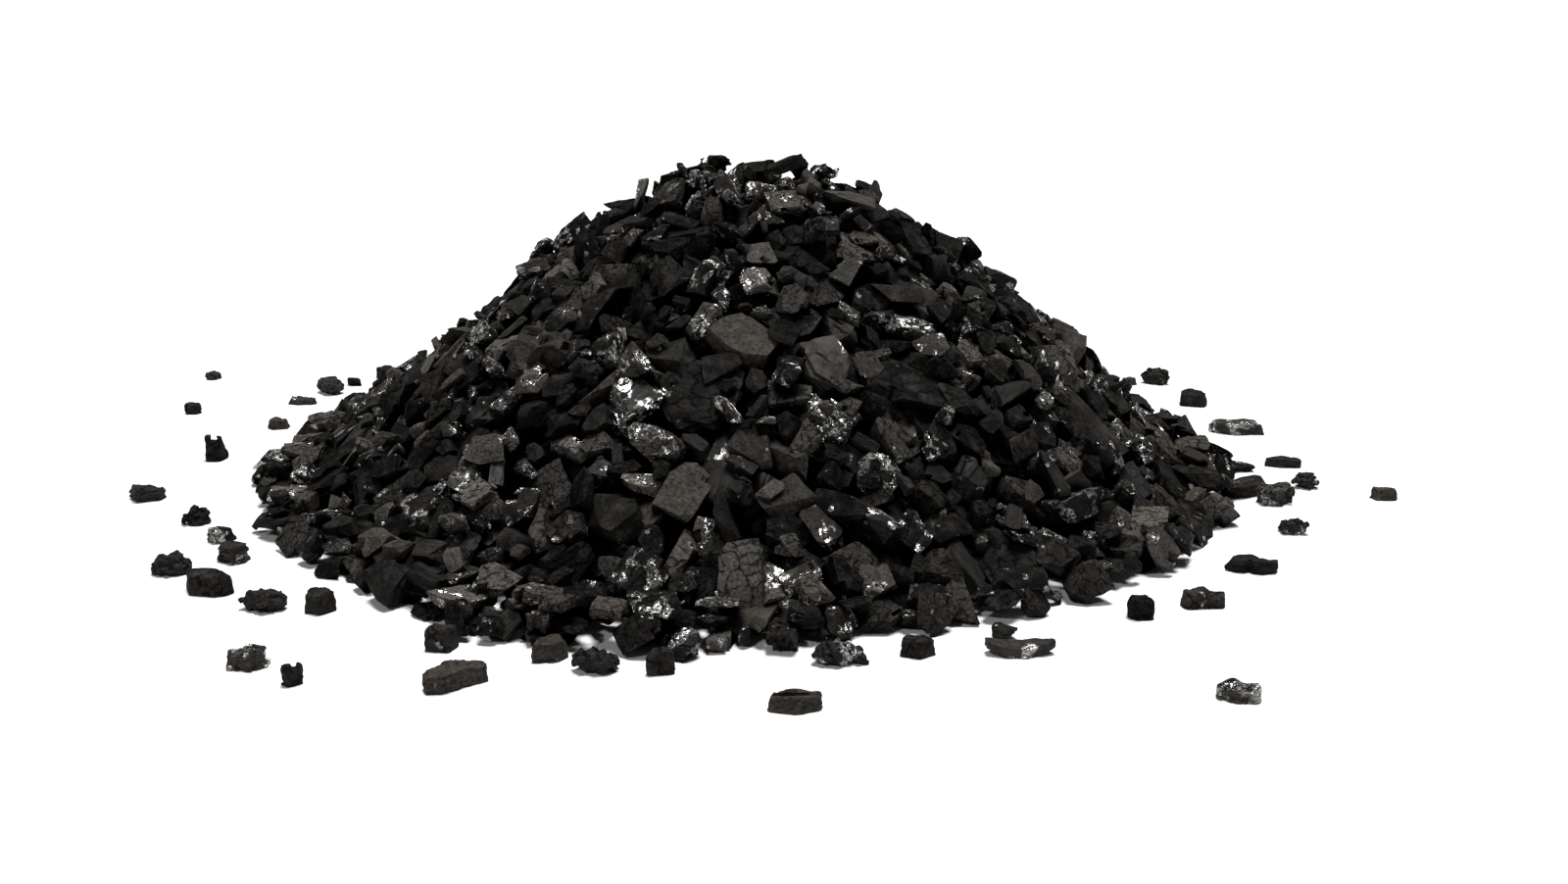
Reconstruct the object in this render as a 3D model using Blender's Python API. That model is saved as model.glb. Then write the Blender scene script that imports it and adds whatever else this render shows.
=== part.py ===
"""A low heap of charcoal granules, with the loose ones that rolled off round its foot.

Metres, +Z up. The origin is the middle of the heap's foot, on the surface that it lies on.
The heap is one solid: granules, larger than life, that stand out of a smaller core.
Each loose granule is a solid of its own, with a small flat spot to rest on.
"""

import math
import random

import bmesh
import bpy
from mathutils import Matrix, Vector

MM = 0.001
FULL_TURN = 2 * math.pi
GOLDEN_ANGLE = FULL_TURN * (1 - 2 / (1 + math.sqrt(5)))

# Driving dimensions of the heap
HEAP_HEIGHT = 32.6 * MM
HEAP_SLOPE = 0.88  # rise over run of the flanks
TOP_ROUND = 14.7 * MM  # the flanks bend over into the top within about this radius
APEX_X = -0.8 * MM
FOOT_SOFTNESS = 1.4 * MM  # the flanks run out onto the surface over about this height

NORMAL_STEP = 0.5 * MM

# Low rises and hollows in the heap: x, y, height and spread in mm
LUMPS = (
    (15, -3, 1.1, 9),
    (-19, -15, -0.9, 10),
    (6, 24, 1.0, 11),
    (-27, 12, 0.9, 11),
    (29, -21, 0.8, 10),
    (24, 26, -0.9, 10),
)

# The heap's granules, about one and a half times life size so that they stay few
HEAP_GRANULES = 300
GRANULE_LENGTH = 6.4 * MM
GRANULE_SPREAD = 0.24  # share by which lengths differ
OUTERMOST_PLACE = 48 * MM  # distance of the last granule from the heap's middle
PLACE_JITTER = 0.6 * MM
STEP_INWARD = 0.5 * MM  # a granule that would reach a loose one moves in by such steps
CREST_ABOVE_FACE = 0.5 * MM  # a granule's own top stands this far out of the heap's face
LEAN = math.radians(27)  # usual lean of a granule out of the slope
LEAN_LIMIT = math.radians(62)
HEAP_MIX = (("chip", 52), ("block", 20), ("splinter", 12), ("crumb", 16))
HEAP_SEED = 7

# The core that they stand out of
CORE_DEPTH = 2.2 * MM  # below the heap's face
CORE_ROUGHNESS = 0.5 * MM
ROOT_DEPTH = 3.1 * MM  # each granule reaches at least this far below the heap's face
CORE_FOOT_RADIUS = 44.7 * MM
CORE_ROOT = 9 * MM  # the core goes on this far below the surface until it is cut level with it
CORE_RINGS = 6
CORE_SIDES = 18
CORE_SEED = 19

GROUND_SIZE = 200 * MM  # the block that cuts the heap level with the surface

# How uneven granules are
CORNER_REACH = (0.84, 1.08)  # of a prism's corners, as a share of its radius
CORNER_SWING = 0.22  # share of the step from corner to corner
TOP_SLOPE = 0.2  # rise over run of a prism's top
CHIP_TAPER = (0.8, 0.94)
BLOCK_TAPER = (0.84, 0.98)
BLOCK_TURN = math.radians(36)  # sets a block's flat side along it
END_ROUNDING = 2.2  # a bar narrows towards its ends by this power of the distance
SPLINTER_NARROWING, SPLINTER_SWAY = 0.55, 0.12
SHELL_NARROWING, SHELL_SWAY, SHELL_BEND = 0.6, 0.04, 2.6
CRUMB_ROUGHNESS = 0.26

# Width and height as shares of the length, for granules that no list gives sizes to
PROPORTIONS = {
    "chip": (0.72, 0.42),
    "block": (0.74, 0.60),
    "splinter": (0.42, 0.32),
    "crumb": (0.78, 0.62),
}

# Loose granules
WORN_EDGE = 0.14 * MM
CUT_TOLERANCE = 0.0005 * MM
FLAT_SPOT = 0.12  # share of a granule's height that its flat spot takes off
CLEARANCE = 0.35 * MM  # from every other granule
SPILL_COUNT = 22
SPILL_SEED = 41
SPILL_LENGTHS = (2.3 * MM, 4.4 * MM)
SPILL_NEAREST = 54.5 * MM
SPILL_REACH = 5.5 * MM  # mean distance past the nearest place
SPILL_FARTHEST = 66 * MM
SPILL_FROM, SPILL_TO = math.radians(18), math.radians(158)  # the far side of the heap

# Those that lie where the picture shows them: kind, then x, y, length, width and height in mm,
# the turn about the vertical and the tilt of the long side, in degrees
LOOSE = (
    ("chip", -70.4, 37.9, 2.4, 1.9, 1.0, 15, 4),
    ("chip", -67.8, 21.6, 2.4, 2.0, 1.3, 160, 0),
    ("chip", -55.6, 15.1, 3.1, 2.2, 1.2, 170, 3),
    ("block", -59.0, 2.6, 3.1, 2.4, 3.1, 12, 0),
    ("chip", -61.8, -11.3, 4.2, 2.2, 1.5, 10, 6),
    ("crumb", -54.4, -18.7, 2.9, 2.4, 2.0, 20, 0),
    ("chip", -50.4, -24.0, 3.2, 1.9, 1.4, 22, 6),
    ("block", -47.6, -29.4, 3.4, 2.2, 1.9, -8, 0),
    ("crumb", -52.3, -32.4, 3.9, 3.1, 2.3, 10, 0),
    ("chip", -47.4, -37.1, 5.3, 3.4, 2.1, -12, 0),
    ("crumb", -41.4, -41.2, 4.0, 2.8, 2.2, 12, 0),
    ("block", -36.6, -41.6, 3.4, 2.8, 2.0, 10, 0),
    ("chip", -39.3, -53.2, 4.3, 2.9, 1.6, 4, 0),
    ("block", -34.8, -56.6, 2.1, 1.5, 2.0, 40, 0),
    ("splinter", -22.2, -56.8, 4.9, 2.5, 1.8, 28, 0),
    ("block", -24.6, -49.6, 3.4, 2.6, 2.2, 2, 0),
    ("block", -15.6, -51.8, 3.4, 2.2, 2.0, 24, 0),
    ("crumb", -11.4, -53.9, 3.7, 2.7, 2.0, 0, 0),
    ("block", -6.6, -54.4, 3.3, 2.6, 2.1, 12, 0),
    ("chip", 4.1, -61.0, 4.7, 2.3, 1.5, -3, 0),
    ("crumb", 7.8, -52.4, 4.6, 2.5, 1.9, 2, 0),
    ("block", 14.0, -50.9, 3.6, 2.4, 1.7, 4, 0),
    ("shell", 22.2, -50.6, 5.6, 2.3, 1.0, 4, 0),
    ("block", 33.4, -42.9, 2.7, 2.2, 1.9, -14, 0),
    ("chip", 37.6, -59.3, 3.9, 2.4, 1.4, -20, 0),
    ("chip", 39.6, -40.2, 5.0, 2.7, 1.6, 6, 0),
    ("splinter", 45.6, -31.8, 4.6, 2.0, 1.4, -16, 0),
    ("crumb", 52.4, -21.5, 3.0, 2.3, 1.8, 0, 0),
    ("chip", 64.7, -11.0, 3.4, 2.2, 1.4, 5, 0),
    ("crumb", 57.6, -7.2, 3.0, 2.4, 1.9, 0, 0),
    ("splinter", 57.4, 0.2, 4.0, 1.6, 1.1, -10, 0),
    ("chip", 52.9, -12.6, 4.4, 2.8, 2.0, 6, 0),
    ("splinter", 55.6, 13.2, 6.4, 2.2, 1.5, -8, 0),
    ("chip", -55.8, 25.9, 4.0, 1.9, 0.9, -6, 0),
)

# Colour in linear light, roughness
FINISHES = {
    "heap": ((0.024, 0.022, 0.020), 0.62),
    "chip": ((0.026, 0.024, 0.022), 0.68),
    "block": ((0.024, 0.023, 0.021), 0.60),
    "splinter": ((0.027, 0.024, 0.021), 0.58),
    "crumb": ((0.020, 0.019, 0.018), 0.42),
    "shell": ((0.026, 0.023, 0.021), 0.50),
}


def clear_scene():
    for obj in list(bpy.data.objects):
        bpy.data.objects.remove(obj)


def finish(name):
    colour, roughness = FINISHES[name]
    material = bpy.data.materials.new(f"charcoal_{name}")
    material.use_nodes = True
    shader = material.node_tree.nodes["Principled BSDF"]
    shader.inputs["Base Color"].default_value = (*colour, 1)
    shader.inputs["Roughness"].default_value = roughness
    shader.inputs["Metallic"].default_value = 0.0
    return material


def add_object(name, bm, material, collection=None):
    mesh = bpy.data.meshes.new(name)
    bm.to_mesh(mesh)
    bm.free()
    mesh.materials.append(material)
    obj = bpy.data.objects.new(name, mesh)
    (collection or bpy.context.scene.collection).objects.link(obj)
    return obj


def heap_face(x, y):
    """Height of the heap's outer face over (x, y), which runs out softly at its foot."""
    radius = math.hypot(x - APEX_X, y)
    height = HEAP_HEIGHT + HEAP_SLOPE * (TOP_ROUND - math.hypot(radius, TOP_ROUND))
    for lump_x, lump_y, rise, spread in LUMPS:
        away = math.hypot(x - lump_x * MM, y - lump_y * MM) / (spread * MM)
        height += rise * MM * math.exp(-away * away)
    return FOOT_SOFTNESS * math.log1p(math.exp(height / FOOT_SOFTNESS))


def heap_normal(x, y):
    step = NORMAL_STEP
    rise_x = heap_face(x + step, y) - heap_face(x - step, y)
    rise_y = heap_face(x, y + step) - heap_face(x, y - step)
    return Vector((-rise_x, -rise_y, 2 * step)).normalized()


def prism(draw, corners, taper):
    """An upright prism, one unit long, wide and high, with uneven corners and a sloping top."""
    bm = bmesh.new()
    bmesh.ops.create_cone(
        bm, cap_ends=True, segments=corners, radius1=0.5, radius2=0.5 * taper, depth=1
    )
    step = FULL_TURN / corners
    reach = [draw.uniform(*CORNER_REACH) for _ in range(corners)]
    swing = [draw.uniform(-CORNER_SWING, CORNER_SWING) * step for _ in range(corners)]
    slope = draw.uniform(-TOP_SLOPE, TOP_SLOPE)
    for vert in bm.verts:
        angle = math.atan2(vert.co.y, vert.co.x)
        corner = round(angle / step) % corners
        radius = math.hypot(vert.co.x, vert.co.y) * reach[corner]
        angle += swing[corner]
        vert.co.x = radius * math.cos(angle)
        vert.co.y = radius * math.sin(angle)
        if vert.co.z > 0:
            vert.co.z += slope * vert.co.x
    return bm


def bar(draw, cuts, narrowing, sway, bend):
    """A bar along X of one unit each way, narrowed at its ends, swaying a little and bent up."""
    bm = bmesh.new()
    bmesh.ops.create_cube(bm, size=1)
    long_edges = [e for e in bm.edges if abs(e.verts[0].co.x - e.verts[1].co.x) > 0.5]
    bmesh.ops.subdivide_edges(bm, edges=long_edges, cuts=cuts)
    stations = sorted({round(vert.co.x, 4) for vert in bm.verts})
    shift = {station: draw.uniform(-sway, sway) for station in stations}
    swell = {station: draw.uniform(1 - sway, 1 + sway) for station in stations}
    for vert in bm.verts:
        station = round(vert.co.x, 4)
        narrowed = narrowing * (2 * abs(station)) ** END_ROUNDING
        vert.co.y = vert.co.y * swell[station] * (1 - narrowed) + shift[station]
        vert.co.z = vert.co.z * (1 - 0.5 * narrowed) + bend * station * station
    return bm


def lump(draw, rounds):
    """A rough lump of about one unit each way."""
    bm = bmesh.new()
    bmesh.ops.create_icosphere(bm, subdivisions=rounds, radius=0.5)
    for vert in bm.verts:
        vert.co *= draw.uniform(1 - CRUMB_ROUGHNESS, 1 + 0.3 * CRUMB_ROUGHNESS)
    return bm


def granule(kind, draw, length, width, height, fine):
    """A granule round the origin, its long side along X and its broad face up."""
    if kind == "chip":
        bm = prism(draw, draw.choice((5, 6) if fine else (4, 5)), draw.uniform(*CHIP_TAPER))
    elif kind == "block":
        bm = prism(draw, draw.choice((4, 5)) if fine else 4, draw.uniform(*BLOCK_TAPER))
        bmesh.ops.rotate(bm, matrix=Matrix.Rotation(BLOCK_TURN, 3, "Z"), verts=bm.verts)
    elif kind == "splinter":
        bm = bar(draw, 3 if fine else 1, SPLINTER_NARROWING, SPLINTER_SWAY, 0)
    elif kind == "shell":
        bm = bar(draw, 6, SHELL_NARROWING, SHELL_SWAY, SHELL_BEND)
    else:
        bm = lump(draw, 2 if fine else 1)
    bmesh.ops.scale(bm, vec=(length, width, height), verts=bm.verts)
    if fine and kind in ("chip", "block"):
        bmesh.ops.bevel(
            bm, geom=list(bm.edges), offset=WORN_EDGE, segments=1, affect="EDGES", clamp_overlap=True
        )
    return bm


def pick_kind(draw, mix):
    kinds, weights = zip(*mix)
    return draw.choices(kinds, weights)[0]


def trim_below_surface(bm):
    """Cuts off what is below z = 0 and closes the cut flat."""
    cut = bmesh.ops.bisect_plane(
        bm,
        geom=list(bm.verts) + list(bm.edges) + list(bm.faces),
        dist=CUT_TOLERANCE,
        plane_co=(0, 0, 0),
        plane_no=(0, 0, -1),
        clear_outer=True,
    )
    rim = [part for part in cut["geom_cut"] if isinstance(part, bmesh.types.BMEdge)]
    bmesh.ops.contextual_create(bm, geom=rim)
    bmesh.ops.triangulate(bm, faces=list(bm.faces))


def loose_granule(name, kind, draw, x, y, length, width, height, turn, tilt, material):
    bm = granule(kind, draw, length, width, height, fine=True)
    lay = Matrix.Rotation(turn, 3, "Z") @ Matrix.Rotation(tilt, 3, "Y")
    bmesh.ops.rotate(bm, matrix=lay, verts=bm.verts)
    lowest = min(vert.co.z for vert in bm.verts)
    tallest = max(vert.co.z for vert in bm.verts)
    seat = lowest + FLAT_SPOT * (tallest - lowest)
    bmesh.ops.translate(bm, vec=(x, y, -seat), verts=bm.verts)
    trim_below_surface(bm)
    return add_object(name, bm, material)


def spilled_places(taken, draw):
    """Places for granules on the far side, drawn one by one and kept where they clear the rest."""
    placed = []
    while len(placed) < SPILL_COUNT:
        length = draw.uniform(*SPILL_LENGTHS)
        angle = draw.uniform(SPILL_FROM, SPILL_TO)
        away = SPILL_NEAREST + 0.5 * length + draw.expovariate(1 / SPILL_REACH)
        if away > SPILL_FARTHEST:
            continue
        x, y = away * math.cos(angle), away * math.sin(angle)
        if all(math.hypot(x - u, y - v) > 0.5 * (length + span) + CLEARANCE for u, v, span in taken):
            taken.append((x, y, length))
            placed.append((x, y, length))
    return placed


def add_loose_granules(materials):
    """Adds every loose granule and gives back (x, y, length) of each."""
    taken = [(x * MM, y * MM, length * MM) for _, x, y, length, *_ in LOOSE]
    counts = dict.fromkeys(FINISHES, 0)

    def next_name(kind):
        counts[kind] += 1
        return f"loose_{kind}_{counts[kind]:02d}"

    for kind, x, y, length, width, height, turn, tilt in LOOSE:
        name = next_name(kind)
        draw = random.Random(name)
        loose_granule(
            name, kind, draw, x * MM, y * MM, length * MM, width * MM, height * MM,
            math.radians(turn), math.radians(tilt), materials[kind],
        )
    draw = random.Random(SPILL_SEED)
    for x, y, length in spilled_places(taken, draw):
        kind = pick_kind(draw, HEAP_MIX)
        width, height = (share * length for share in PROPORTIONS[kind])
        turn = draw.uniform(0, FULL_TURN)
        loose_granule(
            next_name(kind), kind, draw, x, y, length, width, height, turn, 0.0, materials[kind]
        )
    return taken


def heap_core(material):
    """A rough mound, a little below the heap's face, whose foot goes down through the surface."""
    bm = bmesh.new()
    draw = random.Random(CORE_SEED)
    rings = []
    for ring in range(1, CORE_RINGS + 1):
        radius = CORE_FOOT_RADIUS * ring / CORE_RINGS
        points = []
        for side in range(CORE_SIDES):
            angle = FULL_TURN * (side + 0.5 * (ring % 2)) / CORE_SIDES
            x, y = APEX_X + radius * math.cos(angle), radius * math.sin(angle)
            depth = CORE_DEPTH + draw.uniform(-CORE_ROUGHNESS, CORE_ROUGHNESS)
            points.append(bm.verts.new((x, y, heap_face(x, y) - depth / heap_normal(x, y).z)))
        rings.append(points)
    base = [bm.verts.new((v.co.x, v.co.y, -CORE_ROOT)) for v in rings[-1]]
    top = bm.verts.new((APEX_X, 0, heap_face(APEX_X, 0) - CORE_DEPTH))
    for side in range(CORE_SIDES):
        bm.faces.new((top, rings[0][side], rings[0][(side + 1) % CORE_SIDES]))
    for inner, outer in zip(rings, rings[1:] + [base]):
        for side in range(CORE_SIDES):
            after = (side + 1) % CORE_SIDES
            bm.faces.new((inner[side], outer[side], outer[after], inner[after]))
    bm.faces.new(base[::-1])
    bmesh.ops.recalc_face_normals(bm, faces=bm.faces)
    bmesh.ops.triangulate(bm, faces=list(bm.faces))
    return add_object("heap", bm, material)


def heap_granules(collection, loose, material):
    """Stands granules evenly over the heap's face, clear of the loose ones round its foot."""
    draw = random.Random(HEAP_SEED)
    for index in range(HEAP_GRANULES):
        kind = pick_kind(draw, HEAP_MIX)
        length = GRANULE_LENGTH * draw.uniform(1 - GRANULE_SPREAD, 1 + GRANULE_SPREAD)
        width, height = (share * length for share in PROPORTIONS[kind])
        radius = OUTERMOST_PLACE * math.sqrt((index + 0.5) / HEAP_GRANULES)
        radius += draw.uniform(-PLACE_JITTER, PLACE_JITTER)
        angle = index * GOLDEN_ANGLE
        x, y = APEX_X + radius * math.cos(angle), radius * math.sin(angle)
        while any(math.hypot(x - u, y - v) < 0.5 * (length + span) + CLEARANCE for u, v, span in loose):
            radius -= STEP_INWARD
            x, y = APEX_X + radius * math.cos(angle), radius * math.sin(angle)
        spin = draw.uniform(0, FULL_TURN)
        lean = min(abs(draw.gauss(0, LEAN)), LEAN_LIMIT)
        lean_towards = draw.uniform(0, FULL_TURN)
        shape_seed = draw.random()
        height = max(height, ROOT_DEPTH + CREST_ABOVE_FACE)
        bm = granule(kind, random.Random(shape_seed), length, width, height, fine=False)
        normal = heap_normal(x, y)
        on_slope = Vector((0, 0, 1)).rotation_difference(normal).to_matrix()
        axis = Vector((math.cos(lean_towards), math.sin(lean_towards), 0))
        lie = on_slope @ Matrix.Rotation(lean, 3, axis) @ Matrix.Rotation(spin, 3, "Z")
        bmesh.ops.rotate(bm, matrix=lie, verts=bm.verts)
        crest = max(vert.co.dot(normal) for vert in bm.verts)
        place = Vector((x, y, heap_face(x, y))) + normal * (CREST_ABOVE_FACE - crest)
        bmesh.ops.translate(bm, vec=place, verts=bm.verts)
        bmesh.ops.triangulate(bm, faces=list(bm.faces))
        add_object(f"heap_granule_{index:03d}", bm, material, collection)


def apply_boolean(obj, operation, **operand):
    modifier = obj.modifiers.new("Fuse", "BOOLEAN")
    modifier.operation = operation
    modifier.solver = "EXACT"
    for name, value in operand.items():
        setattr(modifier, name, value)
    bpy.context.view_layer.objects.active = obj
    bpy.ops.object.modifier_apply(modifier=modifier.name)


def keep_outer_skin(obj):
    """Fills hollows that the fusing sealed and drops loose scraps: the biggest skin stays."""
    bm = bmesh.new()
    bm.from_mesh(obj.data)
    left = set(bm.faces)
    skins = []
    while left:
        edge_of_search = [left.pop()]
        skin = []
        while edge_of_search:
            face = edge_of_search.pop()
            skin.append(face)
            for edge in face.edges:
                for other in edge.link_faces:
                    if other in left:
                        left.remove(other)
                        edge_of_search.append(other)
        skins.append(skin)
    skins.sort(key=len)
    scraps = [face for skin in skins[:-1] for face in skin]
    bmesh.ops.delete(bm, geom=scraps, context="FACES")
    bm.to_mesh(obj.data)
    bm.free()


def add_heap(materials, loose):
    heap = heap_core(materials["heap"])
    crowd = bpy.data.collections.new("heap_granules")
    bpy.context.scene.collection.children.link(crowd)
    heap_granules(crowd, loose, materials["heap"])
    apply_boolean(heap, "UNION", operand_type="COLLECTION", collection=crowd)
    for obj in list(crowd.objects):
        bpy.data.objects.remove(obj)
    bpy.data.collections.remove(crowd)
    ground = bmesh.new()
    bmesh.ops.create_cube(ground, size=GROUND_SIZE)
    bmesh.ops.translate(ground, vec=(0, 0, -0.5 * GROUND_SIZE), verts=ground.verts)
    cutter = add_object("ground_cutter", ground, materials["heap"])
    apply_boolean(heap, "DIFFERENCE", object=cutter)
    bpy.data.objects.remove(cutter)
    keep_outer_skin(heap)
    return heap


def main():
    clear_scene()
    materials = {name: finish(name) for name in FINISHES}
    loose = add_loose_granules(materials)
    add_heap(materials, loose)


main()
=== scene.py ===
import math

import bpy
import numpy as np
from mathutils import Matrix, Vector
from mathutils.bvhtree import BVHTree


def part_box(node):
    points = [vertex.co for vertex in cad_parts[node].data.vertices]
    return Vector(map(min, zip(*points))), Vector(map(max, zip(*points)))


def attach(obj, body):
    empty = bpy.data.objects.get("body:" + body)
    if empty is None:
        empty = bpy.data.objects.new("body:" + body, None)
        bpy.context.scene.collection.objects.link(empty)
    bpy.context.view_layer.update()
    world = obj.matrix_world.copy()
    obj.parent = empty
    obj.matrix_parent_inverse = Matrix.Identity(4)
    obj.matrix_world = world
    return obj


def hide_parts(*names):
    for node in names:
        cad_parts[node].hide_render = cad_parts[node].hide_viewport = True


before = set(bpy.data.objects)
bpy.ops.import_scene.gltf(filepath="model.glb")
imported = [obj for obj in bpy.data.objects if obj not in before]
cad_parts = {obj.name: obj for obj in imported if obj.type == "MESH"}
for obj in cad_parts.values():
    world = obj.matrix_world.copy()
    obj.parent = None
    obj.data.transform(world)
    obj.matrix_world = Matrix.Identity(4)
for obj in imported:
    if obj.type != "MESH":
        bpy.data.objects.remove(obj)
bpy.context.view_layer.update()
mm = 0.001
mergeDistance = 0.001  # millimetres
print("frame loaded:", len(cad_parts), "nodes")


# Small helpers

def deselectAll():
    for thing in list(bpy.context.selected_objects):
        thing.select_set(False)


def pickOnly(thing):
    deselectAll()
    thing.select_set(True)
    bpy.context.view_layer.objects.active = thing


def addBlock(name, size):
    deselectAll()
    bpy.ops.mesh.primitive_cube_add(size=1)
    block = bpy.context.object
    block.name = name
    block.scale = size
    bpy.ops.object.transform_apply(location=False, rotation=False, scale=True)
    return block


def breakOff(thing, point, facing):
    # snaps off what lies past a plane and leaves a flat fracture
    bpy.ops.object.mode_set(mode="EDIT")
    bpy.ops.mesh.select_all(action="SELECT")
    bpy.ops.mesh.bisect(plane_co=point, plane_no=facing, use_fill=True, clear_outer=True)
    bpy.ops.object.mode_set(mode="OBJECT")


def useModifier(thing, kind, **choices):
    modifier = thing.modifiers.new(kind.title(), kind)
    for name, value in choices.items():
        setattr(modifier, name, value)
    bpy.ops.object.modifier_apply(modifier=modifier.name)


def cutAway(thing, block):
    pickOnly(thing)
    useModifier(thing, "BOOLEAN", object=block, operation="DIFFERENCE", solver="EXACT")
    bpy.data.objects.remove(block)


crispSkin = {"depth": 5, "scale": 0.94, "sharpness": 1.0}


def closeSurface(thing, crisp, voxel):
    # one closed skin of even faces, which keeps its edges where it is crisp
    if crisp:
        useModifier(
            thing, "REMESH", mode="SHARP", octree_depth=crispSkin["depth"], scale=crispSkin["scale"],
            sharpness=crispSkin["sharpness"],
        )
    else:
        useModifier(thing, "REMESH", mode="VOXEL", voxel_size=voxel)


def copyOfNode(nodeName, name):
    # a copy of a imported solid, with its loose triangles merged into one skin
    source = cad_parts[nodeName]
    thing = source.copy()
    thing.data = source.data.copy()
    thing.name = name
    for tag in [key for key in thing.keys() if key.startswith("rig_")]:
        del thing[tag]
    thing.parent = None
    thing.hide_viewport = thing.hide_render = False
    bpy.context.scene.collection.objects.link(thing)
    pickOnly(thing)
    bpy.ops.object.mode_set(mode="EDIT")
    bpy.ops.mesh.select_all(action="SELECT")
    bpy.ops.mesh.remove_doubles(threshold=mergeDistance * mm)
    bpy.ops.object.mode_set(mode="OBJECT")
    return thing


def giveMaterial(mesh, material):
    mesh.materials.clear()
    mesh.materials.append(material)


def keepAboveFloor(mesh):
    for vert in mesh.vertices:
        vert.co.z = max(vert.co.z, 0.0)


def roughTexture(name, kind, size, **choices):
    texture = bpy.data.textures.new(name, kind)
    texture.noise_scale = size
    for choice, value in choices.items():
        setattr(texture, choice, value)
    return texture


# Roughness that is pushed into the meshes, in millimetres
reliefTextures = {
    "broad": roughTexture("broad", "CLOUDS", 1.7, noise_depth=1),
    "fine": roughTexture("fine", "CLOUDS", 0.5, noise_depth=2),
    "steps": roughTexture("steps", "VORONOI", 0.85, color_mode="POSITION"),
    "pores": roughTexture("pores", "VORONOI", 0.75),
}
textureReach = 50
grainGuide = bpy.data.objects.new("grainGuide", None)  # stretches a texture along the grain
bpy.context.scene.collection.objects.link(grainGuide)


def pushRelief(thing, texture, strength, shift=(0, 0, 0), stretch=(1, 1, 1)):
    grainGuide.location = shift
    grainGuide.scale = stretch
    bpy.context.view_layer.update()
    useModifier(
        thing, "DISPLACE", texture=reliefTextures[texture], strength=strength, mid_level=0.5,
        texture_coords="OBJECT", texture_coords_object=grainGuide,
    )


def drawShift(draw):
    # moves a granule to a stretch of the textures of its own
    return [draw.uniform(-textureReach, textureReach) for _ in range(3)]


def roughen(thing, look, shift):
    pushRelief(thing, "broad", look["broad"], shift)
    pushRelief(thing, "steps", look["steps"], shift, look["stretch"])
    if look["pores"]:
        pushRelief(thing, "pores", look["pores"], shift)
    pushRelief(thing, "fine", look["fine"], shift, look["stretch"])


def thinTo(thing, triangles):
    faces = sum(len(face.vertices) - 2 for face in thing.data.polygons)
    useModifier(thing, "DECIMATE", ratio=min(1.0, triangles / faces), use_collapse_triangulate=True)


# Master granules, in millimetres, each modelled once

granuleKinds = {
    "tabular": {
        "masters": 15, "size": (5.3, 4.1, 1.15), "spread": 0.24, "sides": 5, "reach": (0.30, 0.86),
        "tip": 0.4, "wedge": 11, "chips": 2, "notched": 0.75, "crisp": True, "broad": 0.17, "steps": 0.08,
        "fine": 0.08, "stretch": (1, 1, 1), "pores": 0.0,
    },
    "block": {
        "masters": 6, "size": (4.4, 3.4, 2.4), "spread": 0.16, "sides": 5, "reach": (0.42, 0.86),
        "tip": 0.6, "wedge": 16, "chips": 3, "notched": 0.5, "crisp": True, "broad": 0.22, "steps": 0.12,
        "fine": 0.09, "stretch": (1, 1, 1), "pores": 0.0,
    },
    "splinter": {
        "masters": 5, "size": (5.8, 2.2, 1.4), "spread": 0.18, "sides": 5, "reach": (0.5, 0.92), "tip": 0.5,
        "wedge": 12, "chips": 3, "notched": 0.3, "crisp": True, "broad": 0.3, "steps": 0.24, "fine": 0.14,
        "stretch": (4.5, 0.7, 0.5), "pores": 0.0,
    },
    "laminated": {
        "masters": 5, "size": (4.6, 3.6, 2.2), "spread": 0.16, "sides": 5, "reach": (0.42, 0.88),
        "tip": 0.35, "wedge": 10, "chips": 3, "notched": 0.4, "crisp": True, "broad": 0.4, "steps": 0.5,
        "fine": 0.16, "stretch": (2.6, 2.6, 0.42), "pores": 0.0,
    },
    "crumb": {
        "masters": 8, "size": (4.1, 3.5, 2.8), "spread": 0.2, "sides": 5, "reach": (0.42, 0.85), "tip": 1.0,
        "wedge": 24, "chips": 3, "notched": 0.5, "crisp": False, "broad": 1.2, "steps": 0.65, "fine": 0.4,
        "stretch": (0.9, 0.9, 0.9), "pores": 0.6,
    },
    "shell": {
        "masters": 3, "size": (5.8, 3.4, 1.0), "spread": 0.12, "sides": 5, "reach": (0.5, 0.9), "tip": 0.3,
        "wedge": 4, "chips": 1, "notched": 0.3, "crisp": False, "broad": 0.26, "steps": 0.16, "fine": 0.12,
        "stretch": (3, 0.8, 0.8), "pores": 0.0,
    },
}
masterDetail = {
    "seed": 11, "voxel": 0.12, "outerTriangles": 440, "fillTriangles": 60, "sharpAngle": 24,
    "shellBend": 75, "samples": 420, "uneven": 0.36, "faceReach": (0.72, 0.92), "chipReach": (0.55, 0.85),
}
notchDetail = {
    "away": 0.46, "lift": 1, "width": (0.8, 1.7), "length": (0.5, 1.2), "through": 2.4, "tip": 0.5,
}


def breakAt(thing, size, facing, share, middle=Vector()):
    # the plane stands at a share of the way to the block's outermost point in that direction
    corner = Vector([math.copysign(0.5 * side, part) for side, part in zip(size, facing)])
    breakOff(thing, middle + facing * facing.dot(corner) * share, facing)


def cutNotch(thing, size, draw):
    around = draw.uniform(0, 2 * math.pi)
    away, lift = notchDetail["away"], draw.uniform(-notchDetail["lift"], notchDetail["lift"])
    rim = Vector((away * size[0] * math.cos(around), away * size[1] * math.sin(around), lift))
    width, length = draw.uniform(*notchDetail["width"]), draw.uniform(*notchDetail["length"])
    wedge = addBlock("notchWedge", (width, length, notchDetail["through"] * size[2]))
    tip = draw.uniform(-notchDetail["tip"], notchDetail["tip"])
    turn = Matrix.Rotation(around + math.pi / 4, 4, "Z") @ Matrix.Rotation(tip, 4, "X")
    wedge.data.transform(Matrix.Translation(rim) @ turn)
    cutAway(thing, wedge)


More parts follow.
